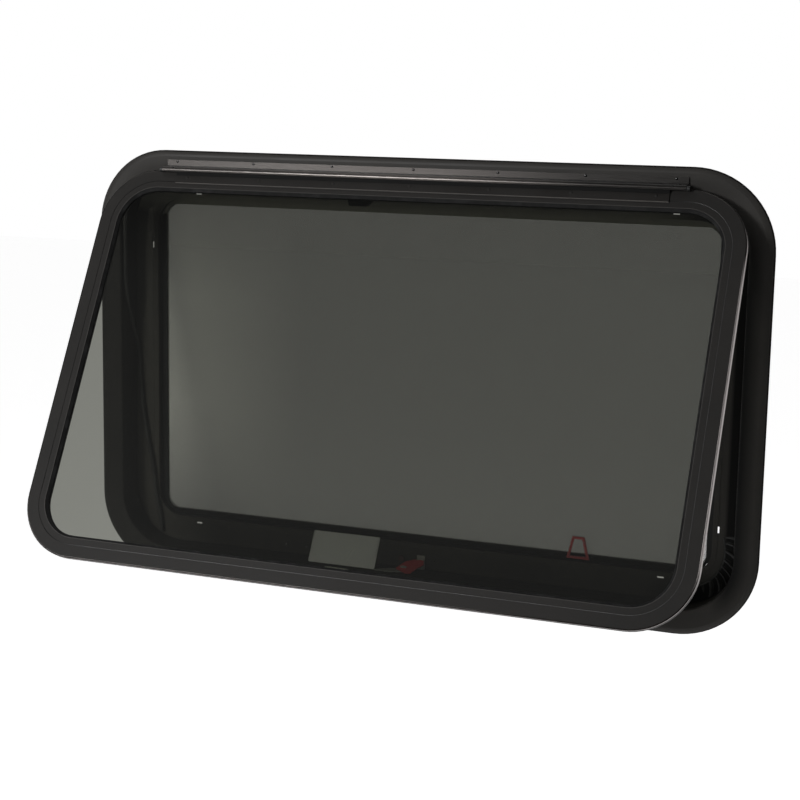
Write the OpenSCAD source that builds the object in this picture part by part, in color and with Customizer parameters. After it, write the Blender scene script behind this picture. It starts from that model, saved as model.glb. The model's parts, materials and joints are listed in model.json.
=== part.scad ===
// Top hung escape window of a caravan: rounded aluminium frame, hook hinge, glazed sash,
// insect screen and lever latch.
// X runs along the window, -Y points outdoors and Z is up. The origin lies on the back
// face of the flange, at the middle of its bottom leg.

/* [Frame] */
// Width over the outer flange
window_w = 914.4; // [800:0.1:1200]
// Height over the outer flange
window_h = 575.6; // [500:0.1:760]
// Outer corner radius of the flange
corner_r = 101.4; // [95:0.1:130]
// Width of the flange, from its rim to the wall cut-out
flange_w = 29.4; // [28:0.1:32]
// Height of the flange's crown above the wall
crown_h = 4.2; // [3.6:0.1:4.6]
// Thickness of the frame's extruded walls
frame_wall = 1.6; // [1.2:0.1:2.2]
// Depth of the jamb behind the wall face
jamb_depth = 38; // [30:0.5:60]
// Width of the back flange, from the jamb to the screen recess
back_flange_w = 34.9; // [28:0.1:36]
// Depth of the screen recess behind the back flange
recess_depth = 15; // [10:0.5:20]
// Length of a drain slot in the back flange
slot_l = 8.4; // [4:0.1:12]
// Width of a drain slot
slot_h = 2.2; // [1:0.1:3]
// Inset of the drain slots from the rim
slot_inset = 58.8; // [45:0.1:60]

/* [Sash] */
// Angle that the sash stands open in the stored pose
open_deg = 28; // [0:1:60]
// Inset of the sash's sides from the window's rim
sash_side_inset = 26; // [25:0.1:28]
// Inset of the closed sash's bottom edge from the window's rim
sash_foot_inset = 18.8; // [17:0.1:21]
// Height of the sash's top edge above the hinge axis, when closed
sash_rise = 2.1; // [1:0.1:2.3]
// Outer corner radius of the sash
sash_r = 77; // [70:0.1:84]
// Width of the sash's face, from its edge to the lip over the glass
face_w = 25.8; // [25:0.1:28]
// Thickness of the sash's extruded walls
sash_wall = 1.7; // [1.3:0.1:2]
// Depth of the sash's outer lip
lip_depth = 7.7; // [6:0.1:8]
// Depth of the sash's box section
box_depth = 12.5; // [11:0.1:14]
// Thickness of the glass
glass_t = 3.2; // [3:0.1:4]
// Set-back of the glass behind the sash's face
glass_set = 4.4; // [4:0.1:5.5]

/* [Hinge] */
// Inset of the frame leaf's ends from the window's rim
frame_leaf_inset = 106.2; // [104:0.1:160]
// Distance by which the sash's leaf is shorter at each end
leaf_step = 20; // [12:0.5:40]
// Thickness of both leaves
leaf_t = 1.6; // [1.2:0.1:2]
// Height of the frame's leaf above the socket
frame_leaf_h = 10; // [8:0.1:11]
// Height of the sash's leaf
sash_leaf_h = 12.2; // [10:0.1:16]
// Radius of the bead on the sash's leaf
bead_r = 2.5; // [2:0.1:3]
// Clearance between bead and socket
bead_gap = 0.1; // [0.05:0.01:0.2]
// Wall of the hinge socket
socket_wall = 1.6; // [1.2:0.1:2]
// Distance of the hinge axis in front of the sash's face
axis_proud = 5; // [4.8:0.1:6]
// Distance of the hinge axis in front of the wall
axis_out = 16.9; // [16.8:0.1:18]
// Inset of the hinge axis from the window's top edge
axis_inset = 25.1; // [24.6:0.1:26]

/* [Screen] */
// Width of the screen's rail
screen_rail_w = 8.3; // [7:0.1:12]
// Thickness of the screen's rail
screen_rail_t = 6; // [5:0.1:8]
// How much tighter the opening's corners are than corners concentric with the rim
open_tighten = 11.9; // [0:0.1:18]
// Thickness of the insect screen's cloth
cloth_t = 0.6; // [0.4:0.1:1]

/* [Latch] */
// Length of the latch lever from its pivot, along its slope
lever_l = 22.6; // [20:0.2:23]
// Width of the latch lever at its front edge
lever_w = 24; // [16:0.5:25]
// Thickness of the latch lever
lever_t = 1.4; // [1.2:0.1:2]
// Radius of the latch's pivot post
post_r = 3; // [2.5:0.1:4]
// Clearance between the lever and its post
post_gap = 0.1; // [0.05:0.01:0.1]
// Angle of the lever from straight outdoors, towards -X, in the stored pose
lever_deg = 25; // [25:1:32]
// Slope of the lever, down outdoors
lever_slope = 23.5; // [16:0.5:24]

/* [Hidden] */
$fn = 48;
eps = 0.02;

origin_up = flange_w / 2;
jamb_in = flange_w + frame_wall;
recess_in = jamb_in + back_flange_w;
seat_gap = 0.3;

// The crown is two arcs that meet at its top.
crown_in = 8;
edge_t = 2.2;
edge_r = arc_r(flange_w - crown_in, crown_h - edge_t);

axis_z = window_h - axis_inset;
sash_w = window_w - 2 * sash_side_inset;
sash_h = axis_z + sash_rise - sash_foot_inset;
frame_leaf_l = window_w - 2 * frame_leaf_inset;
sash_leaf_l = frame_leaf_l - 2 * leaf_step;
socket_in = bead_r + bead_gap;
socket_out = socket_in + socket_wall;
socket_front_deg = 64;
socket_back_deg = 60;
web_t = 1.4;
web_z = socket_out - web_t;
leaf_seat = crown_at(axis_inset - web_z - frame_leaf_h);
base_t = 1.6;

pocket_in = 21;
glass_back = glass_set + glass_t;
box_in = 14.5;
sight_w = 29.2;
groove_at = 17;

screen_in = recess_in + seat_gap;
screen_back = jamb_depth + recess_depth;
opening_in = screen_in + screen_rail_w;
screen_open_r = corner_r - opening_in - open_tighten;
cloth_y = screen_back - screen_rail_t / 2;

seal_r = 3;
seal_wall = 1.1;
bracket_x = 4.6;
post_x = -2;
post_y = jamb_depth - 9;
sill_z = jamb_in;
lever_z = sill_z + seat_gap + lever_l * sin(lever_slope);
post_slack = 0.1;
collar_t = 1;

// Radius of an arc that is level at one end and falls by a drop over a run.
function arc_r(run, drop) = (pow(run, 2) + pow(drop, 2)) / (2 * drop);

// Height of the crown at an inset from the rim, on its inner arc.
function crown_at(inset) = crown_h - edge_r + sqrt(pow(edge_r, 2) - pow(inset - crown_in, 2));

// Turns a drawing plane with outdoors as its third axis upright.
module upright() {
    rotate([90, 0, 0]) children();
}

// Pushes a section, drawn as outward and up, along X.
module along_x(len) {
    rotate([90, 0, -90]) linear_extrude(len, center = true) children();
}

// Runs a section round a rounded rectangle. The section's first axis is the inset from
// the outer edge and its second one points outdoors.
module ring(w, h, r) {
    for (side = [0 : 3]) {
        across = side % 2 == 0 ? w : h;
        along = side % 2 == 0 ? h : w;
        rotate(side * 90) {
            translate([across / 2, 0, 0])
                rotate([90, 0, 0]) linear_extrude(along - 2 * r, center = true) mirror([1, 0]) children();
            translate([across / 2 - r, along / 2 - r, 0])
                rotate_extrude(angle = 90) translate([r, 0]) mirror([1, 0]) children();
        }
    }
}

// Rounded rectangle centred on the drawing plane.
module round_rect(w, h, r) {
    hx = w / 2 - r;
    hy = h / 2 - r;
    square([w, h - 2 * r], center = true);
    square([w - 2 * r, h], center = true);
    for (x = [-hx, hx], y = [-hy, hy]) translate([x, y]) circle(r);
}

// Places window pieces: bottom edge of the flange at the origin's height less half a leg.
module in_window() {
    translate([0, 0, -origin_up]) children();
}

// Places ring sections round the window's middle.
module round_window() {
    in_window() translate([0, 0, window_h / 2]) upright() children();
}

// Places sash pieces: drawn closed from the hinge axis, swung to the stored angle.
module on_sash() {
    in_window() translate([0, -axis_out, axis_z]) rotate([-open_deg, 0, 0]) children();
}

// Places ring sections round the sash's middle, with the sash's face at height 0.
module round_sash() {
    on_sash() translate([0, axis_proud, sash_rise - sash_h / 2]) upright() children();
}

// Flange with a convex crown, jamb, back flange and screen recess.
module frame_section() {
    rim_t = 1;
    rim_r = arc_r(crown_in, crown_h - rim_t);
    difference() {
        union() {
            difference() {
                square([flange_w, crown_h]);
                difference() {
                    translate([-1, 0]) square([crown_in + 1, crown_h + 1]);
                    translate([crown_in, crown_h - rim_r]) circle(rim_r);
                }
                difference() {
                    translate([crown_in, 0]) square([flange_w, crown_h + 1]);
                    translate([crown_in, crown_h - edge_r]) circle(edge_r, $fn = 240);
                }
            }
            polygon([
                [flange_w - 1, 0], [flange_w - 1, edge_t], [flange_w, edge_t], [jamb_in, 0.8],
                [jamb_in, -jamb_depth], [recess_in, -jamb_depth], [recess_in, -screen_back],
                [recess_in - frame_wall, -screen_back], [recess_in - frame_wall, -jamb_depth - frame_wall],
                [jamb_in - frame_wall, -jamb_depth - frame_wall], [jamb_in - frame_wall, 0]
            ]);
        }
        // Two shallow recesses in the flange's back, for the sealing tape.
        translate([3.5, -1]) square([8, 1 + 0.38 * crown_h]);
        translate([18.5, -1]) square([8, 1.9]);
        // Fine groove in the back flange that joins the drain slots.
        translate([slot_inset - 0.4, -jamb_depth - 0.5]) square([0.8, 1]);
    }
}

// Drain slots, spaced from the ends of the corner bends.
module drain_slots() {
    slot_y = -jamb_depth - frame_wall / 2;
    through = 3 * frame_wall;
    half_w = window_w / 2;
    half_h = window_h / 2;
    end_x = half_w - corner_r - 27.8;
    side_z = [corner_r + 26.6 - half_h, half_h - corner_r - 29.4];
    for (x = [slot_inset - half_w, half_w - slot_inset], z = side_z)
        translate([x, z, slot_y]) cube([slot_h, slot_l, through], center = true);
    for (x = [-end_x, end_x], z = [slot_inset - half_h, half_h - slot_inset])
        translate([x, z, slot_y]) cube([slot_l, slot_h, through], center = true);
}

module main_frame() {
    color([0.16, 0.15, 0.14]) round_window() difference() {
        ring(window_w, window_h, corner_r) frame_section();
        drain_slots();
    }
}

// Bulb seal in the front corner of the jamb, round the sides and the head.
module frame_seal() {
    seat = jamb_in + 0.1;
    foot_z = corner_r - window_h / 2;
    color([0.05, 0.05, 0.05]) round_window() difference() {
        ring(window_w, window_h, corner_r) translate([seat + seal_r, -2 - seal_r]) difference() {
            circle(seal_r, $fn = 24);
            circle(seal_r - seal_wall, $fn = 24);
        }
        translate([-window_w / 2, -window_h / 2, -jamb_depth]) cube([window_w, foot_z + window_h / 2, jamb_depth]);
    }
}

// C-shaped hook of the frame's leaf, open downwards for the sash's bead.
module socket_section() {
    reach = 3 * socket_out;
    difference() {
        circle(socket_out);
        circle(socket_in);
        polygon([
            [0, 0],
            [reach * sin(socket_front_deg), -reach * cos(socket_front_deg)],
            [0, -2 * reach],
            [-reach * sin(socket_back_deg), -reach * cos(socket_back_deg)]
        ]);
    }
}

module hinge_frame_leaf() {
    back = leaf_seat - axis_out;
    color([0.45, 0.44, 0.42]) in_window() translate([0, -axis_out, axis_z]) along_x(frame_leaf_l) union() {
        socket_section();
        translate([back, web_z]) square([-back, web_t]);
        translate([back, web_z]) square([leaf_t, frame_leaf_h]);
    }
}

// Plug that closes one end of the socket and holds the bead lengthways.
module hinge_plug(side) {
    cap_t = 4.2;
    cap_r = 3.2;
    stub_l = (frame_leaf_l - sash_leaf_l) / 2 - seat_gap;
    color([0.08, 0.08, 0.08]) in_window() translate([side * frame_leaf_l / 2, -axis_out, axis_z])
        rotate([0, side * 90, 0]) {
            cylinder(r = cap_r, h = cap_t);
            translate([0, 0, -stub_l]) cylinder(r = bead_r, h = stub_l + eps);
        }
}

module hinge_plug_left() {
    hinge_plug(-1);
}

module hinge_plug_right() {
    hinge_plug(1);
}

module screen_outline(inset, r) {
    round_rect(window_w - 2 * inset, window_h - 2 * inset, r);
}

// Rolled screen frame with a groove for the spline on its indoor side.
module screen_frame() {
    groove_in = screen_in + 2.4;
    groove_w = 3.2;
    color([0.1, 0.1, 0.1]) round_window() translate([0, 0, -screen_back]) difference() {
        linear_extrude(screen_rail_t) difference() {
            screen_outline(screen_in, corner_r - screen_in);
            screen_outline(opening_in, screen_open_r);
        }
        translate([0, 0, -1]) linear_extrude(1 + screen_rail_t / 2) difference() {
            screen_outline(groove_in, corner_r - groove_in);
            screen_outline(groove_in + groove_w, corner_r - groove_in - groove_w);
        }
    }
}

module insect_screen() {
    color([0.2, 0.2, 0.2]) round_window() translate([0, 0, -cloth_y - cloth_t / 2])
        linear_extrude(cloth_t) screen_outline(opening_in, screen_open_r);
}

module screen_spline() {
    groove_mid = screen_in + 4;
    cord_r = 1.5;
    color([0.04, 0.04, 0.04]) round_window() translate([0, 0, -screen_back + 1.45])
        ring(window_w - 2 * groove_mid, window_h - 2 * groove_mid, corner_r - groove_mid) circle(cord_r, $fn = 16);
}

// Red wire loop on the screen's bottom rail.
module screen_pull() {
    loop_x = 217.5;
    top_w = 16;
    base_w = 30;
    loop_h = 29;
    bar = 3;
    low = opening_in - 6;
    front = screen_back - screen_rail_t;
    color([0.55, 0.1, 0.12]) in_window() translate([loop_x, 0, low]) upright()
        translate([0, 0, -front]) linear_extrude(bar) difference() {
            polygon([[-base_w / 2, 0], [base_w / 2, 0], [top_w / 2, loop_h], [-top_w / 2, loop_h]]);
            polygon([
                [-base_w / 2 + bar * 1.3, bar], [base_w / 2 - bar * 1.3, bar],
                [top_w / 2 - bar * 0.9, loop_h - bar], [-top_w / 2 + bar * 0.9, loop_h - bar]
            ]);
        }
}

// Rubber bumper on the back flange under the head, at the screen's edge.
module head_bumper() {
    color([0.03, 0.03, 0.03]) in_window() translate([-86.5, jamb_depth, window_h - recess_in]) upright()
        linear_extrude(10) polygon([[-18, 16], [-18, 9.3], [-15.8, 0.2], [7.2, 0.2], [18, 9.8], [18, 16]]);
}

// Places the latch's turning pieces, at the lever's underside on its sloping pivot.
module on_latch() {
    in_window() translate([post_x, post_y, lever_z]) rotate([lever_slope, 0, 0]) children();
}

// Bent plate with a sloping ear that carries the post.
module latch_base() {
    base_w = 11;
    ear_w = 9;
    ear_front = 6;
    ear_drop = collar_t + post_slack + base_t;
    ear_back = (jamb_depth - base_t / 2 - post_y - ear_drop * sin(lever_slope)) / cos(lever_slope);
    color([0.6, 0.6, 0.6]) union() {
        in_window() translate([post_x - ear_w / 2, jamb_depth - base_t, sill_z])
            cube([bracket_x + base_w / 2 - post_x + ear_w / 2, base_t, lever_z - sill_z + 2.6]);
        in_window() translate([bracket_x - base_w / 2, jamb_depth - base_t, sill_z]) cube([base_w, base_t, 19]);
        on_latch() translate([0, 0, -ear_drop]) difference() {
            translate([-ear_w / 2, -ear_front, 0]) cube([ear_w, ear_front + ear_back, base_t]);
            translate([0, 0, -1]) cylinder(r = post_r, h = base_t + 2);
        }
    }
}

module latch_post() {
    head_t = 0.5;
    foot = -collar_t - post_slack - base_t;
    color([0.5, 0.08, 0.1]) on_latch() {
        translate([0, 0, foot]) cylinder(r = post_r, h = lever_t + post_slack + head_t - foot);
        translate([0, 0, -collar_t - post_slack]) cylinder(r = post_r + 1.4, h = collar_t);
        translate([0, 0, lever_t + post_slack]) cylinder(r = post_r + 1.4, h = head_t);
    }
}

// Broad stamped blade that turns on the post.
module latch_lever() {
    color([0.6, 0.08, 0.1]) on_latch() rotate(-lever_deg) linear_extrude(lever_t) difference() {
        polygon([
            [1 - lever_w / 2, -lever_l], [-lever_w / 2, 1.2 - lever_l], [-lever_w / 2, -0.58 * lever_l],
            [1 - lever_w / 2, -4], [-6.4, 2.6], [-4.2, 5.6], [lever_w / 2 - 4.5, 11], [lever_w / 2 + 1.4, 5],
            [lever_w / 2 - 0.8, -0.3 * lever_l], [lever_w / 2 - 0.6, 3.2 - lever_l], [0.22 * lever_w, -lever_l]
        ]);
        circle(post_r + post_gap);
    }
}

module latch_knob() {
    color([0.25, 0.08, 0.08]) in_window() translate([-23, jamb_depth, sill_z + 12.5]) upright() {
        cylinder(r = 2, h = 3);
        translate([0, 0, 1.8]) cylinder(r1 = 4.2, r2 = 3.8, h = 2.2);
    }
}

// Flat steel tongue that the latch draws along the sill.
module latch_tongue() {
    color([0.5, 0.5, 0.5]) in_window() translate([0, post_y, sill_z]) linear_extrude(1)
        polygon([[-8, -5], [-20, -1.5], [-32, -4.5], [-53, -20], [-52, -21.5], [-27, -21.5], [-10, -15]]);
}

module sash_section() {
    difference() {
        union() {
            polygon([
                [0, -lip_depth], [0, -1], [1, 0], [groove_at - 0.4, 0], [groove_at, -0.6],
                [groove_at + 0.4, 0], [face_w, 0], [face_w, -sash_wall], [sash_wall, -sash_wall],
                [sash_wall, -lip_depth]
            ]);
            translate([box_in, -box_depth]) square([pocket_in - box_in, box_depth - eps]);
        }
        translate([box_in + sash_wall, -box_depth + sash_wall])
            square([pocket_in - box_in - 2 * sash_wall, box_depth - 2 * sash_wall]);
    }
}

module sash_frame() {
    color([0.15, 0.14, 0.14]) round_sash() ring(sash_w, sash_h, sash_r) sash_section();
}

module glazing_gasket() {
    color([0.03, 0.03, 0.03]) round_sash() ring(sash_w, sash_h, sash_r)
        polygon([
            [pocket_in, -sash_wall], [face_w, -sash_wall], [face_w + 0.3, -0.6], [sight_w, -glass_set + 0.8],
            [sight_w, -glass_set], [pocket_in, -glass_set]
        ]);
}

module glass_pane() {
    edge = pocket_in + 0.4;
    color([0.1, 0.11, 0.1, 0.6]) round_sash() translate([0, 0, -glass_back])
        linear_extrude(glass_t) round_rect(sash_w - 2 * edge, sash_h - 2 * edge, sash_r - edge);
}

module glazing_bead() {
    color([0.12, 0.12, 0.12]) round_sash() ring(sash_w, sash_h, sash_r)
        polygon([
            [pocket_in, -glass_back], [sight_w - 0.8, -glass_back], [sight_w - 0.8, -glass_back - 1.8],
            [pocket_in + 1.5, -box_depth], [pocket_in, -box_depth]
        ]);
}

// Leaf on the sash, with a neck and a round bead that hooks into the frame's socket.
module hinge_sash_leaf() {
    plate_top = -4.8;
    neck_t = 1.4;
    neck_l = 6.6;
    neck_deg = -36;
    color([0.3, 0.29, 0.28]) on_sash() union() {
        along_x(sash_leaf_l) circle(bead_r);
        along_x(sash_leaf_l) rotate(neck_deg) translate([-neck_t / 2, -neck_l]) square([neck_t, neck_l]);
        along_x(sash_leaf_l) translate([-axis_proud, plate_top - sash_leaf_h]) square([leaf_t, sash_leaf_h]);
    }
}

module exit_label() {
    label_w = 85;
    label_h = 38.4;
    label_x = 8;
    rise = sight_w + 5.6;
    color([0.7, 0.7, 0.7]) round_sash()
        translate([label_x, -sash_h / 2 + rise + label_h / 2, -glass_back - 0.25])
            linear_extrude(0.25) round_rect(label_w, label_h, 2);
}

// Bracket inside the sash's bottom rail that the latch grips.
module keeper_bracket() {
    plate_w = 28;
    color([0.5, 0.5, 0.5]) on_sash() translate([0, axis_proud + box_depth, sash_rise - sash_h + box_in]) {
        translate([-plate_w / 2, 0, 0]) cube([plate_w, 1.6, 18]);
        for (x = [-plate_w / 2, plate_w / 2 - 2]) translate([x, 0, 12]) cube([2, 8, 6]);
    }
}

main_frame();
frame_seal();
hinge_frame_leaf();
hinge_plug_left();
hinge_plug_right();
screen_frame();
insect_screen();
screen_spline();
screen_pull();
head_bumper();
latch_base();
latch_post();
latch_lever();
latch_knob();
latch_tongue();
sash_frame();
glazing_gasket();
glass_pane();
glazing_bead();
hinge_sash_leaf();
exit_label();
keeper_bracket();
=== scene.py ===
import json
import math

import bmesh
import bpy
import numpy as np
from mathutils import Matrix, Vector


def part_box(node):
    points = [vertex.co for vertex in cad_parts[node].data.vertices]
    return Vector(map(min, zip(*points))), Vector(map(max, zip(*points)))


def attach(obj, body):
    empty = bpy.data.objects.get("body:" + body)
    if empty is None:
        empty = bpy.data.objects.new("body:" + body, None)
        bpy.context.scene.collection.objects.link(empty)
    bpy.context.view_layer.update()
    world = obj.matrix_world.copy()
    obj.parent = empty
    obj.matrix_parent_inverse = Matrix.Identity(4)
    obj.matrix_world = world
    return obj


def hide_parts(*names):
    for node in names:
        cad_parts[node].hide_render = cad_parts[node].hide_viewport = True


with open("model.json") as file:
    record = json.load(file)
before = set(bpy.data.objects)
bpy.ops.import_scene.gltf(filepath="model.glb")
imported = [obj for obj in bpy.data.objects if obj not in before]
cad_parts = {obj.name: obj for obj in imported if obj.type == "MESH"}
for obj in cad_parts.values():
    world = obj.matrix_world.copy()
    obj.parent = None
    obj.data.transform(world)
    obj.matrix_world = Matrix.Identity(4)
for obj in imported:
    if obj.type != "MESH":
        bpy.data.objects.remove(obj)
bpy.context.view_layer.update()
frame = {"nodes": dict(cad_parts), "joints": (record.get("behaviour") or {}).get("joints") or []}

# Looks of a top hung caravan window: finishes, wire cloth, seal, screws, studio and camera.
# Lengths are in metres. X runs along the window, -Y points outdoors and Z is up.

MM = 0.001
nodes = frame["nodes"]

# Driving sizes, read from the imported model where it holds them.
flange_low, flange_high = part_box("main_frame")
WINDOW_W = flange_high.x - flange_low.x
WINDOW_H = flange_high.z - flange_low.z
FOOT_Z = flange_low.z
CORNER_R = 101.4 * MM
JAMB_IN = 31 * MM
JAMB_Y = 38 * MM
CLOTH_R = 15 * MM
SEAL_R = 3 * MM

# The sash hangs from the hinge axis and stands open in the stored pose.
OPEN_ANGLE = math.radians(28)
AXIS_PROUD = 5 * MM
LEAF_T = 1.6 * MM
SASH_RISE = 2.1 * MM
SASH_R = 77 * MM
LIP_DEPTH = 7.7 * MM
GROOVE_IN = 17 * MM
LEVER_T = 1.4 * MM
hinge = next(j for j in frame["joints"] if j["name"] == "sash_hinge")
lever_joint = next(j for j in frame["joints"] if j["name"] == "lever_pivot")
HINGE_AXIS = Vector(hinge["pos_m"])
SASH_DOWN = Vector((0, -math.sin(OPEN_ANGLE), -math.cos(OPEN_ANGLE)))
SASH_OUT = Vector((0, -math.cos(OPEN_ANGLE), math.sin(OPEN_ANGLE)))
sash_low, sash_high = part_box("sash_frame")
SASH_W = sash_high.x - sash_low.x
SASH_H = 533.8 * MM
FACE_W = 25.8 * MM
LEAF_FOOT = 17 * MM


# Places

def window_point(x, y, z):
    """A point with its height measured from the window's lowest edge."""
    return Vector((x, y, z + FOOT_Z))


def sash_point(x, down, out):
    """A point on the open sash, below the hinge axis by down and before the sash's face by out."""
    return HINGE_AXIS + Vector((x, 0, 0)) + down * SASH_DOWN + (out - AXIS_PROUD) * SASH_OUT


SASH_MIDDLE = sash_point(0, SASH_H / 2 - SASH_RISE, 0)
WINDOW_MIDDLE = window_point(0, 0, WINDOW_H / 2)


# Node materials

RIGHT = (1, 0, 0)
INDOORS = (0, 1, 0)
UP = (0, 0, 1)

# Colours laid over finishes: the pale ones are painted light, the thin dark one painted shadow, near black
# mostly painted shade.
PALE_PAINTED_LIGHT = (0.26, 0.255, 0.22)
DIM_PAINTED_LIGHT = (0.060, 0.057, 0.050)
NEAR_BLACK = (0.003, 0.003, 0.003)
PAINTED_SHADOW = (0.006, 0.006, 0.006)


class Paint:
    """A node material with one Principled shader and short calls for the usual details."""

    def __init__(self, name, color, roughness, metallic=0.0, specular=0.5):
        self.material = bpy.data.materials.new(name)
        self.material.use_nodes = True
        self.nodes = self.material.node_tree.nodes
        self.links = self.material.node_tree.links
        self.shader = self.nodes["Principled BSDF"]
        self.output = self.nodes["Material Output"]
        self.shader.inputs["Base Color"].default_value = (*color, 1)
        self.shader.inputs["Roughness"].default_value = roughness
        self.shader.inputs["Metallic"].default_value = metallic
        self.shader.inputs["Specular IOR Level"].default_value = specular
        self.place = self.nodes.new("ShaderNodeTexCoord").outputs["Object"]
        self.normal = None

    def add(self, kind, **values):
        """A new shader node with its settings."""
        node = self.nodes.new(kind)
        for key, value in values.items():
            setattr(node, key, value)
        return node

    def stretched(self, scale):
        """The place on the object, scaled on each axis."""
        mapping = self.add("ShaderNodeMapping")
        mapping.inputs["Scale"].default_value = scale
        self.links.new(self.place, mapping.inputs["Vector"])
        return mapping.outputs["Vector"]

    def noise(self, scale, detail=3, stretch=(1, 1, 1)):
        node = self.add("ShaderNodeTexNoise")
        node.inputs["Scale"].default_value = scale
        node.inputs["Detail"].default_value = detail
        self.links.new(self.stretched(stretch), node.inputs["Vector"])
        return node.outputs["Fac"]

    def math(self, kind, first, second):
        """A sum, product or other result of two values, each a socket or a number."""
        node = self.add("ShaderNodeMath", operation=kind)
        for socket, value in zip(node.inputs, (first, second)):
            if isinstance(value, bpy.types.NodeSocket):
                self.links.new(value, socket)
            else:
                socket.default_value = value
        return node.outputs["Value"]

    def along(self, direction, origin):
        """How far a point lies from an origin, along a direction."""
        node = self.add("ShaderNodeVectorMath", operation="DOT_PRODUCT")
        node.inputs[1].default_value = direction
        self.links.new(self.place, node.inputs[0])
        return self.math("SUBTRACT", node.outputs["Value"], Vector(origin).dot(Vector(direction)))

    def distance(self, first, second):
        """How far a point lies from an origin, from its distances along two square directions."""
        squares = [self.math("POWER", side, 2) for side in (first, second)]
        return self.math("SQRT", self.math("ADD", *squares), 0)

    def inset(self, middle, up, w, h, r):
        """How far a point lies inside the edge of a rounded rectangle round a middle."""
        x = self.math("SUBTRACT", self.math("ABSOLUTE", self.along(RIGHT, middle), 0), w / 2 - r)
        y = self.math("SUBTRACT", self.math("ABSOLUTE", self.along(up, middle), 0), h / 2 - r)
        corner = self.distance(self.math("MAXIMUM", x, 0), self.math("MAXIMUM", y, 0))
        straight = self.math("MINIMUM", self.math("MAXIMUM", x, y), 0)
        return self.math("SUBTRACT", self.math("SUBTRACT", r, corner), straight)

    def rise(self, value, low, high):
        """A mask that grows from zero to one between two values."""
        return self.remap(value, low, high, 0, 1)

    def fall(self, value, low, high):
        """A mask that drops from one to zero between two values."""
        return self.remap(value, low, high, 1, 0)

    def both(self, first, second):
        """One where both masks are one."""
        return self.math("MULTIPLY", first, second)

    def band(self, value, low, high, soft):
        """One between two values, with soft ends."""
        return self.both(self.rise(value, low - soft, low), self.fall(value, high, high + soft))

    def stain(self, mask, color):
        """Lays a second colour over the base colour where the mask is one."""
        under = self.shader.inputs["Base Color"]
        below = under.links[0].from_socket if under.is_linked else tuple(under.default_value)[:3]
        self.color(self.mix(mask, below, color))

    def remap(self, value, low, high, to_low, to_high):
        """Maps one range of a value to another, clamped at its ends."""
        node = self.add("ShaderNodeMapRange")
        node.inputs["From Min"].default_value = low
        node.inputs["From Max"].default_value = high
        node.inputs["To Min"].default_value = to_low
        node.inputs["To Max"].default_value = to_high
        self.links.new(value, node.inputs["Value"])
        return node.outputs["Result"]

    def mix(self, value, first, second):
        """Blends two colours, each a socket or three numbers."""
        node = self.add("ShaderNodeMix", data_type="RGBA")
        self.links.new(value, node.inputs["Factor"])
        for socket, color in ((node.inputs["A"], first), (node.inputs["B"], second)):
            if isinstance(color, bpy.types.NodeSocket):
                self.links.new(color, socket)
            else:
                socket.default_value = (*color, 1)
        return node.outputs["Result"]

    def color(self, socket):
        """Sends a colour to the shader."""
        self.links.new(socket, self.shader.inputs["Base Color"])

    def rough(self, value, low, high):
        """Varies the roughness between two levels with a noise."""
        self.links.new(self.remap(value, 0.3, 0.7, low, high), self.shader.inputs["Roughness"])

    def bump(self, value, depth, strength=1.0):
        """Adds relief of a depth in metres, on top of any before it."""
        node = self.add("ShaderNodeBump")
        node.inputs["Distance"].default_value = depth
        node.inputs["Strength"].default_value = strength
        self.links.new(value, node.inputs["Height"])
        if self.normal:
            self.links.new(self.normal, node.inputs["Normal"])
        self.normal = node.outputs["Normal"]
        self.links.new(self.normal, self.shader.inputs["Normal"])


def powder_coat(name, light, dark, roughness=0.42, specular=0.3):
    """Satin coat on aluminium, with cloudy tone, fine orange peel and a few pale specks."""
    paint = Paint(name, light, roughness, specular=specular)
    clouds = paint.noise(9, 4)
    tone = paint.mix(paint.remap(clouds, 0.35, 0.65, 0, 1), dark, light)
    specks = paint.remap(paint.noise(2600, 1), 0.70, 0.76, 0, 1)
    paint.color(paint.mix(specks, tone, tuple(2.2 * c + 0.02 for c in light)))
    paint.rough(clouds, roughness - 0.05, roughness + 0.07)
    paint.bump(paint.noise(900, 2), 0.00006, 0.5)
    return paint


def drawn_metal(name, light, dark, roughness, metallic=1.0, along=(1, 30, 30)):
    """Bare or anodised metal with fine lines along its length."""
    paint = Paint(name, light, roughness, metallic=metallic)
    lines = paint.noise(60, 4, along)
    paint.color(paint.mix(paint.remap(lines, 0.3, 0.7, 0, 1), dark, light))
    paint.rough(lines, roughness - 0.06, roughness + 0.08)
    paint.bump(lines, 0.00003, 0.4)
    return paint


def rubber(name, color, specular=0.35):
    """Black rubber with a pale bloom in patches."""
    paint = Paint(name, color, 0.6, specular=specular)
    bloom = paint.remap(paint.noise(70, 5), 0.45, 0.75, 0, 1)
    paint.color(paint.mix(bloom, color, tuple(2.0 * c + 0.004 for c in color)))
    paint.rough(paint.noise(200, 3), 0.5, 0.72)
    paint.bump(paint.noise(1500, 2), 0.00005, 0.6)
    return paint


def moulded(name, color, roughness=0.45):
    """Moulded plastic with a fine grain."""
    paint = Paint(name, color, roughness, specular=0.4)
    dark, light = (tuple(k * c for c in color) for k in (0.85, 1.15))
    paint.color(paint.mix(paint.noise(40, 4), dark, light))
    paint.rough(paint.noise(150, 2), roughness - 0.05, roughness + 0.08)
    paint.bump(paint.noise(1800, 2), 0.00004, 0.5)
    return paint


def enamel(name, color, worn):
    """Red enamel, worn through to metal in small chips."""
    paint = Paint(name, color, 0.35, specular=0.5)
    chips = paint.remap(paint.noise(420, 4), 0.66, 0.70, 0, 1)
    tone = paint.mix(paint.noise(60, 3), tuple(0.8 * c for c in color), color)
    paint.color(paint.mix(chips, tone, worn))
    paint.rough(paint.noise(180, 3), 0.3, 0.45)
    paint.bump(chips, -0.00005, 0.6)
    return paint


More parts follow.
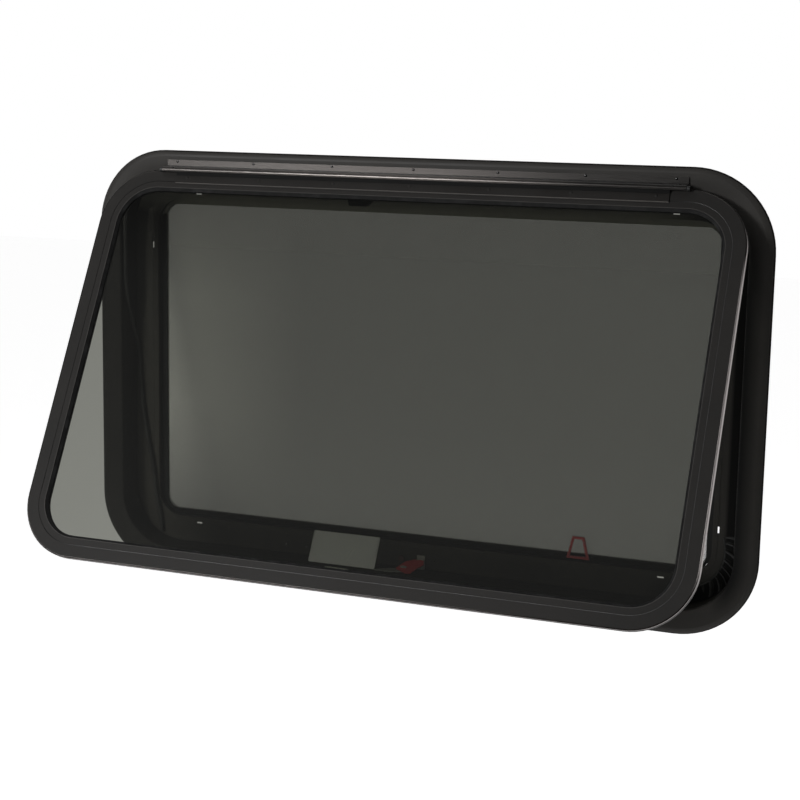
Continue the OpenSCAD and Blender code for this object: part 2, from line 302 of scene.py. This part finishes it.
def tinted_glass(name, tint, cover):
    """Grey tinted pane: part dark and polished, part clear, and more of a mirror at a low angle."""
    paint = Paint(name, (0.004, 0.0045, 0.004), 0.03, specular=0.5)
    paint.rough(paint.noise(3, 2), 0.01, 0.04)
    paint.bump(paint.noise(7, 1), 0.0002, 0.05)
    clear = paint.add("ShaderNodeBsdfTransparent")
    clear.inputs["Color"].default_value = (*tint, 1)
    fresnel = paint.add("ShaderNodeFresnel")
    fresnel.inputs["IOR"].default_value = 1.5
    blend = paint.add("ShaderNodeMixShader")
    paint.links.new(paint.remap(fresnel.outputs["Fac"], 0.04, 1, cover, 0.95), blend.inputs["Fac"])
    paint.links.new(clear.outputs["BSDF"], blend.inputs[1])
    paint.links.new(paint.shader.outputs["BSDF"], blend.inputs[2])
    paint.links.new(blend.outputs["Shader"], paint.output.inputs["Surface"])
    return paint


def glass_finish():
    """Tinted pane under a pale veil of painted reflection, in patches, left off near the hinge."""
    paint = tinted_glass("grey_glass", (0.945, 0.953, 0.902), 0.52)
    down = paint.along(SASH_DOWN, HINGE_AXIS)
    patches = paint.remap(paint.noise(5, 3), 0.3, 0.7, 0.75, 1)
    # Painted reflection: a pale film laid on the pane in place of the glass mirroring its surroundings.
    reflection_veil = paint.both(paint.rise(down, 45 * MM, 150 * MM), patches)
    paint.stain(reflection_veil, (0.021, 0.0217, 0.0203))
    return paint.material


def cloth_finish():
    """Grey coated cloth, with a pool of pale painted light toward the left."""
    paint = moulded("cloth_coat", (0.24, 0.24, 0.23), 0.35)
    # Painted light: the cloth's left part is made pale, as if lit through the gap beside the open sash.
    left = paint.fall(paint.along(RIGHT, WINDOW_MIDDLE), -350 * MM, -180 * MM)
    height = paint.band(paint.along(UP, WINDOW_MIDDLE), -60 * MM, 90 * MM, 150 * MM)
    paint.stain(paint.both(left, height), (0.85, 0.85, 0.80))
    return paint.material


def label_film(name, color):
    """Blank film sticker with faint creases."""
    paint = Paint(name, color, 0.5, specular=0.3)
    clouds = paint.noise(30, 4)
    paint.color(paint.mix(clouds, tuple(0.86 * c for c in color), tuple(1.1 * c for c in color)))
    paint.bump(paint.noise(90, 3), 0.0001, 0.4)
    return paint


def frame_finish():
    """Bronze coat, dark along its rim, with painted light inside, palest at the head, and painted shade on
    the right: black in the recess by the jamb and dark under the sash.
    """
    light, dark = (0.0325, 0.0307, 0.0285), (0.0265, 0.0252, 0.0236)
    paint = powder_coat("frame_coat", light, dark, specular=0.1)
    inset = paint.inset(WINDOW_MIDDLE, UP, WINDOW_W, WINDOW_H, CORNER_R)
    across = paint.along(RIGHT, WINDOW_MIDDLE)
    behind = paint.along(INDOORS, WINDOW_MIDDLE)
    up = paint.along(UP, WINDOW_MIDDLE)
    paint.stain(paint.fall(inset, 1.2 * MM, 2.2 * MM), (0.006, 0.005, 0.0045))

    past_jamb = paint.rise(inset, JAMB_IN + 1 * MM, JAMB_IN + 1.6 * MM)
    inside = paint.both(past_jamb, paint.band(behind, 9 * MM, JAMB_Y + 0.4 * MM, 5 * MM))
    # Painted light inside the frame, except at its right side, palest at the head.
    painted_lit = paint.both(inside, paint.fall(across, 300 * MM, 360 * MM))
    paint.stain(painted_lit, DIM_PAINTED_LIGHT)
    paint.stain(paint.both(painted_lit, paint.rise(up, 200 * MM, 222 * MM)), PALE_PAINTED_LIGHT)

    # Painted shade: the recess by the right jamb is made black.
    recess = paint.both(paint.rise(behind, 15 * MM, 33 * MM), paint.fall(inset, 47 * MM, 52 * MM))
    paint.stain(paint.both(paint.rise(across, 300 * MM, 370 * MM), recess), NEAR_BLACK)

    # Painted shadow of the open sash on the inner part of the flange's right leg.
    under_sash = paint.both(paint.rise(inset, 10 * MM, 27 * MM), paint.fall(behind, 1 * MM, 3 * MM))
    side = paint.both(paint.rise(across, 400 * MM, 420 * MM), paint.fall(up, 150 * MM, 230 * MM))
    paint.stain(paint.both(under_sash, side), PAINTED_SHADOW)
    return paint.material


def screen_finish():
    """Black coat of the screen's frame, with pale painted light on the outdoor side at the head."""
    paint = powder_coat("screen_coat", (0.012, 0.012, 0.012), (0.008, 0.008, 0.008), specular=0.2)
    low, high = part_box("screen_frame")
    # Painted light on the outdoor side of the screen frame's head.
    head = paint.rise(paint.along(UP, high), -24 * MM, -20 * MM)
    outdoor = paint.fall(paint.along(INDOORS, low), 1 * MM, 3 * MM)
    paint.stain(paint.both(head, outdoor), PALE_PAINTED_LIGHT)
    return paint.material


def hinge_finish():
    """Bronze anodised hinge, with painted shade: its leaf darker than its barrel, its ends darker, the
    right end most, and a dark groove along the foot of its leaf.
    """
    paint = drawn_metal("hinge_metal", (0.115, 0.104, 0.098), (0.09, 0.081, 0.076), 0.34, metallic=0.8)
    above = paint.along(UP, HINGE_AXIS)
    behind = paint.along(INDOORS, HINGE_AXIS)
    across = paint.along(RIGHT, HINGE_AXIS)
    # Painted shade: the leaf darker than the barrel, and both ends darker, where the barrel's highlight
    # falls off.
    paint.stain(paint.rise(above, 5.0 * MM, 5.4 * MM), (0.040, 0.036, 0.034))
    paint.stain(paint.remap(across, 60 * MM, 230 * MM, 0, 0.95), (0.018, 0.017, 0.016))
    paint.stain(paint.remap(across, -40 * MM, -260 * MM, 0, 0.8), (0.038, 0.035, 0.033))
    # Painted shade in the groove along the foot of the leaf.
    foot = paint.band(above, 3.9 * MM, 5.2 * MM, 0.3 * MM)
    paint.stain(paint.both(foot, paint.rise(behind, 1 * MM, 2 * MM)), (0.008, 0.0075, 0.007))
    return paint.material


def sash_leaf_finish():
    """Dark leaf, with painted shade in black round the hinge's bead and neck, and a painted highlight along
    its foot.
    """
    paint = powder_coat("sash_leaf_coat", (0.017, 0.016, 0.015), (0.013, 0.012, 0.011), 0.5, specular=0.12)
    # Painted shade in the gap round the hinge's bead and neck.
    distance = paint.distance(paint.along(INDOORS, HINGE_AXIS), paint.along(UP, HINGE_AXIS))
    paint.stain(paint.fall(distance, 6.5 * MM, 7.5 * MM), (0.002, 0.002, 0.002))
    # Painted highlight along the leaf's lower edge.
    down = paint.along(SASH_DOWN, HINGE_AXIS)
    paint.stain(paint.rise(down, LEAF_FOOT - 0.8 * MM, LEAF_FOOT - 0.5 * MM), (0.09, 0.085, 0.08))
    return paint.material


def sash_finish():
    """Black-brown coat, paler along the inner edge of the face."""
    paint = powder_coat("sash_coat", (0.0205, 0.0193, 0.0182), (0.0170, 0.0163, 0.0155), 0.5, specular=0.09)
    inset = paint.inset(SASH_MIDDLE, SASH_DOWN, SASH_W, SASH_H, SASH_R)
    paint.stain(paint.band(inset, FACE_W - 0.7 * MM, FACE_W, 0.2 * MM), (0.045, 0.043, 0.041))
    return paint.material


def lip_finish():
    """Bare metal on the sash's edge, darker at the foot, on the corners and on the face."""
    paint = drawn_metal("bare_edge", (0.40, 0.37, 0.36), (0.30, 0.275, 0.27), 0.4)
    down = paint.along(SASH_DOWN, HINGE_AXIS)
    depth = paint.along(SASH_OUT, SASH_MIDDLE)
    right = paint.along(RIGHT, HINGE_AXIS)
    foot = SASH_H - SASH_RISE
    low = paint.rise(down, foot - SASH_R, foot - 0.6 * SASH_R)
    deep = paint.fall(depth, -3.0 * MM, -2.0 * MM)
    paint.stain(paint.both(low, deep), (0.012, 0.011, 0.011))

    face = paint.rise(depth, -1.0 * MM, -0.85 * MM)
    left = paint.fall(right, -400 * MM, -360 * MM)
    head = paint.fall(down, 80 * MM, 120 * MM)
    paint.stain(paint.both(face, paint.math("MAXIMUM", left, head)), (0.018, 0.017, 0.016))

    inset = paint.inset(SASH_MIDDLE, SASH_DOWN, SASH_W, SASH_H, SASH_R)
    low_face = paint.both(face, low)
    paint.stain(low_face, (0.13, 0.122, 0.118))
    paint.stain(paint.both(low_face, paint.rise(right, 60 * MM, 260 * MM)), (0.03, 0.028, 0.027))
    paint.stain(paint.both(low_face, paint.fall(inset, 1.0 * MM, 1.2 * MM)), (0.010, 0.009, 0.008))
    return paint.material


def face_line_finish():
    """Metal line on the sash's face, dark at the head's right and on the left."""
    paint = drawn_metal("face_metal", (0.11, 0.11, 0.11), (0.075, 0.075, 0.075), 0.5)
    right = paint.along(RIGHT, HINGE_AXIS)
    down = paint.along(SASH_DOWN, HINGE_AXIS)
    left = paint.fall(right, -380 * MM, -330 * MM)
    head = paint.both(paint.fall(down, 30 * MM, 60 * MM), paint.fall(right, 330 * MM, 380 * MM))
    paint.stain(paint.math("MAXIMUM", left, head), NEAR_BLACK)
    return paint.material


def plain(maker, *values, **named):
    """The material of a paint that needs no further stain."""
    return maker(*values, **named).material


frame_coat = frame_finish()
sash_coat = sash_finish()
screen_coat = screen_finish()
hinge_metal = hinge_finish()
bare_edge = lip_finish()
face_metal = face_line_finish()
zinc = plain(drawn_metal, "zinc", (0.56, 0.57, 0.52), (0.42, 0.43, 0.39), 0.42,
             metallic=0.3, along=(6, 6, 1))
black_rubber = plain(rubber, "black_rubber", (0.007, 0.007, 0.007), 0.15)
seal_rubber = plain(rubber, "seal_rubber", (0.020, 0.020, 0.019))
black_nylon = plain(moulded, "black_nylon", (0.006, 0.006, 0.006))
bead_plastic = plain(moulded, "bead_plastic", (0.010, 0.010, 0.010))
red_enamel = plain(enamel, "red_enamel", (0.80, 0.07, 0.075), (0.5, 0.5, 0.5))
red_knob = plain(moulded, "red_knob", (0.09, 0.025, 0.025))
pull_enamel = plain(enamel, "pull_enamel", (0.70, 0.13, 0.14), (0.5, 0.5, 0.5))
grey_glass = glass_finish()
cloth_coat = cloth_finish()
film = plain(label_film, "film", (0.38, 0.385, 0.36))
bright_steel = plain(drawn_metal, "bright_steel", (0.80, 0.80, 0.78), (0.65, 0.65, 0.63), 0.2,
                     along=(1, 1, 1))
fold_rubber = plain(rubber, "fold_rubber", (0.006, 0.006, 0.006))
screw_black = plain(drawn_metal, "screw_black", (0.05, 0.05, 0.05), (0.03, 0.03, 0.03), 0.22,
                    along=(1, 1, 1))

FINISH = {
    "main_frame": frame_coat,
    "frame_seal": seal_rubber,
    "hinge_frame_leaf": hinge_metal,
    "hinge_plug_left": black_nylon,
    "hinge_plug_right": black_nylon,
    "screen_frame": screen_coat,
    "insect_screen": cloth_coat,
    "screen_spline": black_rubber,
    "screen_pull": pull_enamel,
    "head_bumper": black_rubber,
    "latch_base": zinc,
    "latch_post": red_enamel,
    "latch_lever": red_enamel,
    "latch_knob": red_knob,
    "latch_tongue": zinc,
    "sash_frame": sash_coat,
    "glazing_gasket": black_rubber,
    "glass_pane": grey_glass,
    "glazing_bead": bead_plastic,
    "hinge_sash_leaf": sash_leaf_finish(),
    "exit_label": film,
    "keeper_bracket": zinc,
}
for node_name, material in FINISH.items():
    mesh = nodes[node_name].data
    mesh.materials.clear()
    mesh.materials.append(material)


# Mesh helpers

def mesh_object(name, points, faces, material, smooth=True):
    """An object from points and faces, with its faces turned outward."""
    mesh = bpy.data.meshes.new(name)
    mesh.from_pydata([tuple(p) for p in points], [], faces)
    mesh.materials.append(material)
    made = bpy.data.objects.new(name, mesh)
    bpy.context.scene.collection.objects.link(made)
    shell = bmesh.new()
    shell.from_mesh(mesh)
    bmesh.ops.recalc_face_normals(shell, faces=shell.faces)
    shell.to_mesh(mesh)
    shell.free()
    if smooth:
        mesh.shade_smooth()
    return made


def round_path(w, h, r, steps=16):
    """Points and outward directions round a rounded rectangle, in a plane."""
    path = []
    for corner, (sx, sy) in enumerate(((1, 1), (-1, 1), (-1, -1), (1, -1))):
        for step in range(steps + 1):
            angle = (corner + step / steps) * math.pi / 2
            away = Vector((math.cos(angle), math.sin(angle)))
            centre = Vector((sx * (w / 2 - r), sy * (h / 2 - r)))
            path.append((centre + r * away, away))
    return path


def ring_on_sash(name, inset, section, material):
    """Runs a section round the sash. It is drawn as outward from the path and before the face."""
    points, faces = [], []
    path = round_path(SASH_W - 2 * inset, SASH_H - 2 * inset, SASH_R - inset)
    middle = SASH_H / 2 - SASH_RISE
    for place, away in path:
        for across, out in section:
            spot = place + across * away
            points.append(sash_point(spot.x, middle - spot.y, out))
    count = len(section)
    for i in range(len(path)):
        for k in range(count - 1):
            j = (i + 1) % len(path)
            faces.append((i * count + k, i * count + k + 1, j * count + k + 1, j * count + k))
    return mesh_object(name, points, faces, material)


def smooth_path(points, steps):
    """A Catmull-Rom curve through the points."""
    ends = [2 * points[0] - points[1], *points, 2 * points[-1] - points[-2]]
    path = []
    for a, b, c, d in zip(ends, ends[1:], ends[2:], ends[3:]):
        for step in range(steps):
            t = step / steps
            path.append(0.5 * (2 * b + (c - a) * t + (2 * a - 5 * b + 4 * c - d) * t ** 2
                               + (3 * b - a - 3 * c + d) * t ** 3))
    return [*path, points[-1]]


def tube(name, path, radius, material, sides=12):
    """A round cord along a path, closed at its ends."""
    points, faces = [], []
    side = None
    for i, place in enumerate(path):
        ahead = (path[min(i + 1, len(path) - 1)] - path[max(i - 1, 0)]).normalized()
        side = ahead.orthogonal() if side is None else side - side.dot(ahead) * ahead
        side.normalize()
        other = ahead.cross(side)
        for k in range(sides):
            angle = 2 * math.pi * k / sides
            points.append(place + radius * (math.cos(angle) * side + math.sin(angle) * other))
    for i in range(len(path) - 1):
        for k in range(sides):
            m = (k + 1) % sides
            faces.append((i * sides + k, i * sides + m, (i + 1) * sides + m, (i + 1) * sides + k))
    last = (len(path) - 1) * sides
    faces.append(tuple(range(sides)))
    faces.append(tuple(last + k for k in range(sides)))
    return mesh_object(name, points, faces, material)


def lathe(profile, sides=20):
    """Points and faces of a profile, drawn as radius and height, turned round the height."""
    points, faces = [], []
    for radius, height in profile:
        for k in range(sides):
            angle = 2 * math.pi * k / sides
            points.append(Vector((radius * math.cos(angle), radius * math.sin(angle), height)))
    for i in range(len(profile) - 1):
        for k in range(sides):
            m = (k + 1) % sides
            faces.append((i * sides + k, i * sides + m, (i + 1) * sides + m, (i + 1) * sides + k))
    faces.append(tuple(range(sides)))
    faces.append(tuple((len(profile) - 1) * sides + k for k in range(sides)))
    return points, faces


def facing(out, turn=0.0):
    """A turn that points a lathe's height along out."""
    return Vector((0, 0, 1)).rotation_difference(out).to_matrix() @ Matrix.Rotation(turn, 3, "Z")


def scatter(name, shape, places, out, material):
    """Copies of one shape at several places, as one mesh."""
    shape_points, shape_faces = shape
    points, faces = [], []
    for number, place in enumerate(places):
        turned = facing(out, 0.7 * number)
        base = len(points)
        points.extend(place + turned @ p for p in shape_points)
        faces.extend(tuple(base + k for k in face) for face in shape_faces)
    return mesh_object(name, points, faces, material)


# Pieces

OUTDOORS = Vector((0, -1, 0))


def add_wire(points, faces, start, end, radius):
    """Adds an open wire of six sides from a start to an end."""
    sides = 6
    out = Vector(INDOORS)
    across = (end - start).normalized().cross(out)
    base = len(points)
    for place in (start, end):
        for k in range(sides):
            angle = 2 * math.pi / sides * k
            points.append(place + radius * (math.cos(angle) * across + math.sin(angle) * out))
    for k in range(sides):
        m = (k + 1) % sides
        faces.append((base + k, base + m, base + sides + m, base + sides + k))


def cloth_reach(offset, half_along, half_across):
    """Half length of a wire at an offset, shortened in the cloth's rounded corners."""
    over = abs(offset) - (half_across - CLOTH_R)
    if over <= 0:
        return half_along
    return half_along - CLOTH_R + math.sqrt(max(CLOTH_R ** 2 - over ** 2, 0))


def wire_cloth():
    """Insect screen of crossing wires, cut to the rounded opening of its frame."""
    pitch = 0.9 * MM
    wire_r = 0.234 * MM
    lift = 0.1 * MM * Vector(INDOORS)
    low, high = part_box("insect_screen")
    middle = (low + high) / 2
    half_w = (high.x - low.x) / 2
    half_h = (high.z - low.z) / 2
    points, faces = [], []
    columns = int(half_w / pitch)
    for i in range(-columns, columns + 1):
        half = Vector((0, 0, cloth_reach(i * pitch, half_h, half_w)))
        at = middle + Vector((i * pitch, 0, 0)) + lift
        add_wire(points, faces, at - half, at + half, wire_r)
    rows = int(half_h / pitch)
    for i in range(-rows, rows + 1):
        half = Vector((cloth_reach(i * pitch, half_w, half_h), 0, 0))
        at = middle + Vector((0, 0, i * pitch)) - lift
        add_wire(points, faces, at - half, at + half, wire_r)
    made = mesh_object("wire_cloth", points, faces, cloth_coat)
    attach(made, "frame")
    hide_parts("insect_screen")


# Middle of the loose seal in the left jamb, from the sill up: across, indoors and up, in mm.
LOOSE_SEAL = [
    (-385, 34.5, 42), (-389, 34.5, 72), (-395, 34.5, 100), (-399, 34.5, 135), (-406, 34.5, 170),
    (-415, 34.5, 227), (-420.5, 34, 300), (-423, 24, 335), (-423, 11, 370), (-423, 5, 400),
]


def jamb_seal():
    """Bulb seal, loose in a wave down the left jamb, and in its place round the head."""
    near_jamb = JAMB_IN + 0.1 * MM + SEAL_R
    front = 5 * MM
    back = 31 * MM
    steps = 16
    half_w = WINDOW_W / 2 - near_jamb
    bend = CORNER_R - near_jamb
    head = WINDOW_H - near_jamb
    path = smooth_path([window_point(x * MM, y * MM, z * MM) for x, y, z in LOOSE_SEAL], 8)
    for sx, start in ((-1, math.pi), (1, math.pi / 2)):
        for step in range(steps + 1):
            angle = start - step / steps * math.pi / 2
            y = front if sx < 0 else front + (back - front) * step / steps
            path.append(window_point(sx * (half_w - bend) + bend * math.cos(angle), y,
                                     head - bend + bend * math.sin(angle)))
    path.append(window_point(half_w, back, CORNER_R))
    made = tube("jamb_seal", path, SEAL_R, seal_rubber, sides=16)
    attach(made, "frame")
    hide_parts("frame_seal")


def fold_height(sweep, depth):
    """Height of the folds, from 0 to 1, along their fan and from the jamb inward."""
    lean = 0.85 * (1 - depth) ** 1.6
    unrest = 0.2 * math.sin(11 * sweep)
    phase = 8.5 * sweep - lean + unrest
    ends = min(1, 6 * sweep, 5 * (1 - sweep))
    fade = max(0, ends * math.sin(math.pi * (0.08 + 0.92 * depth)) ** 0.4)
    ridge = (0.5 + 0.5 * math.cos(2 * math.pi * phase)) ** 5 * (0.8 + 0.2 * math.sin(4.1 * phase))
    rim = 0.45 * max(0, 1 - abs(depth - 0.93) / 0.05)
    return max(ridge * fade, rim)


def corner_folds():
    """Loose end of the seal, pushed together in a fan of folds in the bottom right corner."""
    outer = CORNER_R - JAMB_IN
    width = 19 * MM
    height = 2.4 * MM
    start, turn = math.radians(20), math.radians(84)
    centre = Vector((WINDOW_W / 2 - CORNER_R, CORNER_R))
    rows, columns = 24, 300
    points, faces = [], []
    for i in range(columns + 1):
        angle = start - turn * i / columns
        for k in range(rows + 1):
            radius = outer - width * k / rows
            lift = 0.05 * MM - height * fold_height(i / columns, k / rows)
            points.append(window_point(centre.x + radius * math.cos(angle), JAMB_Y + lift,
                                       centre.y + radius * math.sin(angle)))
    for i in range(columns):
        for k in range(rows):
            a = i * (rows + 1) + k
            faces.append((a, a + 1, a + rows + 2, a + rows + 1))
    made = mesh_object("corner_folds", points, faces, fold_rubber)
    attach(made, "frame")


def pan_head(radius, height):
    """A low domed screw head with a turned rim."""
    arc = [(radius * math.cos(a), height * (0.35 + 0.65 * math.sin(a))) for a in np.linspace(0, 1.45, 7)]
    return lathe([(radius, -0.3 * MM), (radius, 0.2 * height), *arc])


def leaf_screws():
    """Small black screws along the frame leaf of the hinge."""
    leaf_y = -4.13 * MM - LEAF_T
    leaf_z = 561 * MM
    spacing = 112 * MM
    places = [window_point(i * spacing, leaf_y, leaf_z) for i in range(-3, 4)]
    made = scatter("leaf_screws", pan_head(1.6 * MM, 1.0 * MM), places, OUTDOORS, screw_black)
    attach(made, "frame")


def sash_leaf_screws():
    """Coated screws along the sash leaf of the hinge."""
    spacing = 105 * MM
    places = [sash_point(i * spacing, 9.3 * MM, LEAF_T) for i in range(-3, 4)]
    made = scatter("sash_leaf_screws", pan_head(2.0 * MM, 0.8 * MM), places, SASH_OUT, sash_coat)
    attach(made, "sash")


def sill_screws():
    """Bright screws in the back flange at the sill, beside the sticker and the latch."""
    sill = [(-193.4, 43.3), (-163.2, 43.2), (23.6, 44.9)]
    places = [window_point(x * MM, JAMB_Y, z * MM) for x, z in sill]
    made = scatter("sill_screws", pan_head(1.6 * MM, 1.3 * MM), places, OUTDOORS, bright_steel)
    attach(made, "frame")


def hinge_pins():
    """Staked pins that lock the barrel's ends."""
    lean = math.radians(47)
    out = Vector((0, -math.sin(lean), math.cos(lean)))
    barrel_r = HINGE_AXIS.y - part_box("hinge_frame_leaf")[0].y
    rise = (barrel_r - 0.1 * MM) * out
    places = [HINGE_AXIS + Vector((x * MM, 0, 0)) + rise for x in (-335, 335)]
    made = scatter("hinge_pins", pan_head(1.2 * MM, 0.6 * MM), places, out, screw_black)
    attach(made, "frame")


def lever_rivet():
    """Oval rivet on the sloping lever."""
    half_length, half_width, height = 4.8 * MM, 2.5 * MM, 0.9 * MM
    aside, forward = 10.6 * MM, 11.2 * MM
    up = Vector(lever_joint["axis"])
    inward = up.cross(Vector(RIGHT))
    place = Vector(lever_joint["pos_m"]) - aside * Vector(RIGHT) - forward * inward + LEVER_T * up
    round_points, faces = pan_head(1, height)
    points = [place + half_length * p.x * Vector(RIGHT) + half_width * p.y * inward + p.z * up
              for p in round_points]
    made = mesh_object("lever_rivet", points, faces, zinc)
    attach(made, "lever")


def sash_trim():
    """Fine bright line in the face's groove, and the bare metal edge of the outer lip."""
    line = [(-0.15 * MM, -0.1 * MM), (0, 0.3 * MM), (0.4 * MM, 0.05 * MM), (0.5 * MM, -0.1 * MM)]
    made = ring_on_sash("face_line", GROOVE_IN, line, face_metal)
    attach(made, "sash")
    proud = 0.08 * MM
    edge = [(proud, -LIP_DEPTH), (proud, -0.9 * MM), (proud - 0.9 * MM, proud),
            (-1.7 * MM, 0.6 * proud), (-1.8 * MM, -0.1 * MM)]
    made = ring_on_sash("bare_lip", 0, edge, bare_edge)
    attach(made, "sash")


wire_cloth()
jamb_seal()
corner_folds()
leaf_screws()
sash_leaf_screws()
sill_screws()
hinge_pins()
lever_rivet()
sash_trim()


# Studio

# Strengths of the world, where one is white: for plain light, and for gloss in front of the
# object, at the horizon and overhead, and what a soft band between them adds.
AMBIENT = 0.13
FRONT_LOW = 0.08
FRONT_HIGH = 0.15
FRONT_GLOW = 0.17


def is_any(node_tree, names):
    """One where the ray is of any of the named kinds."""
    path = node_tree.nodes.new("ShaderNodeLightPath")
    total = path.outputs[names[0]]
    for name in names[1:]:
        larger = node_tree.nodes.new("ShaderNodeMath")
        larger.operation = "MAXIMUM"
        node_tree.links.new(total, larger.inputs[0])
        node_tree.links.new(path.outputs[name], larger.inputs[1])
        total = larger.outputs[0]
    return total


def ramp(tree, value, low, high, to_low, to_high):
    """Maps one range of a value to another. Each may be a socket or a number."""
    node = tree.nodes.new("ShaderNodeMapRange")
    names = ("Value", "From Min", "From Max", "To Min", "To Max")
    for name, given in zip(names, (value, low, high, to_low, to_high)):
        if isinstance(given, bpy.types.NodeSocket):
            tree.links.new(given, node.inputs[name])
        else:
            node.inputs[name].default_value = given
    return node.outputs["Result"]


def studio_world():
    """White for the camera and behind the object, dim before it for gloss, softer for other light."""
    world = bpy.data.worlds.new("studio")
    bpy.context.scene.world = world
    world.use_nodes = True
    tree = world.node_tree
    back = tree.nodes["Background"]
    back.inputs["Color"].default_value = (1, 1, 1, 1)
    direction = tree.nodes.new("ShaderNodeSeparateXYZ")
    tree.links.new(tree.nodes.new("ShaderNodeTexCoord").outputs["Generated"], direction.inputs["Vector"])
    height = direction.outputs["Z"]
    dim = ramp(tree, height, 0, 1, FRONT_LOW, FRONT_HIGH)
    glow = ramp(tree, height, 0.42, 0.52, dim, FRONT_HIGH + FRONT_GLOW)
    front = ramp(tree, height, 0.56, 0.68, glow, FRONT_HIGH)
    gloss = ramp(tree, direction.outputs["Y"], -0.1, 0.25, front, 1.0)
    soft = ramp(tree, is_any(tree, ["Is Glossy Ray"]), 0, 1, AMBIENT, gloss)
    strength = ramp(tree, is_any(tree, ["Is Camera Ray", "Is Transmission Ray"]), 0, 1, soft, 1.0)
    tree.links.new(strength, back.inputs["Strength"])


def studio_floor():
    """Pale floor far below the window, white where no shadow falls."""
    reach = 12
    front = -1.5
    z = -0.75
    glow = 0.86
    corners = [(-reach, front, z), (reach, front, z), (reach, reach, z), (-reach, reach, z)]
    paint = Paint("floor_paint", (0.8, 0.8, 0.8), 0.9, specular=0.1)
    paint.color(paint.mix(paint.noise(3, 4), (0.78, 0.78, 0.78), (0.82, 0.82, 0.82)))
    paint.shader.inputs["Emission Color"].default_value = (1, 1, 1, 1)
    seen = is_any(paint.material.node_tree, ["Is Camera Ray", "Is Glossy Ray", "Is Transmission Ray"])
    paint.links.new(paint.remap(seen, 0, 1, 0, glow), paint.shader.inputs["Emission Strength"])
    floor = mesh_object("floor", corners, [(0, 1, 2, 3)], paint.material, smooth=False)


def lamp(name, direction, distance, size, level, mirrored=False):
    """Soft lamp that lights a white surface facing it to a level, where one is white.

    Only a mirrored lamp shows in gloss.
    """
    target = Vector((0, 0, 0.25))
    data = bpy.data.lights.new(name, "AREA")
    data.shape = "RECTANGLE"
    data.size, data.size_y = size
    data.energy = level * math.pi ** 2 * distance ** 2
    made = bpy.data.objects.new(name, data)
    made.location = target + distance * Vector(direction).normalized()
    made.rotation_mode = "QUATERNION"
    made.rotation_quaternion = (target - made.location).to_track_quat("-Z", "Y")
    made.visible_camera = False
    made.visible_glossy = mirrored
    bpy.context.scene.collection.objects.link(made)
    return made


def keep_off(light, node):
    """Keeps a lamp off one node, so that its polished face mirrors no lamp from any side."""
    spared = bpy.data.collections.new(f"not_lit_by_{light.name}")
    spared.objects.link(nodes[node])
    light.light_linking.receiver_collection = spared
    spared.collection_objects[0].light_linking.link_state = "EXCLUDE"


def photo_camera():
    """The photo's camera: right of the window and above its middle, turned left and down."""
    place = Vector((0.8007, -2.0703, 0.6388))
    yaw, pitch, roll = (math.radians(a) for a in (-21.50, -9.917, 1.033))
    focal_px = 1745.3
    photo_w = 800
    forward = Vector((math.sin(yaw) * math.cos(pitch), math.cos(yaw) * math.cos(pitch), math.sin(pitch)))
    level = Vector((math.cos(yaw), -math.sin(yaw), 0))
    lift = level.cross(forward)
    right = math.cos(roll) * level + math.sin(roll) * lift
    up = -math.sin(roll) * level + math.cos(roll) * lift
    data = bpy.data.cameras.new("photo_camera")
    data.sensor_fit = "HORIZONTAL"
    data.sensor_width = 36
    data.lens = focal_px / photo_w * data.sensor_width
    made = bpy.data.objects.new("photo_camera", data)
    made.matrix_world = Matrix.Translation(place) @ Matrix((right, up, -forward)).transposed().to_4x4()
    bpy.context.scene.collection.objects.link(made)
    bpy.context.scene.camera = made


studio_world()
studio_floor()
key = lamp("key", (-0.43, -0.86, 0.26), 3.0, (0.7, 0.7), 0.7, mirrored=True)
keep_off(key, "glass_pane")
lamp("top", (-0.48, -0.25, 0.84), 2.8, (1.0, 1.0), 0.18)
lamp("fill", (0.90, -0.43, 0.05), 3.0, (0.8, 1.2), 0.06)
lamp("front", (0.03, -0.99, 0.10), 3.0, (0.5, 0.8), 0.05)
lamp("bounce", (-0.1, -0.42, -0.90), 1.05, (0.9, 0.7), 0.5)
photo_camera()
bpy.context.scene.view_settings.view_transform = "Standard"
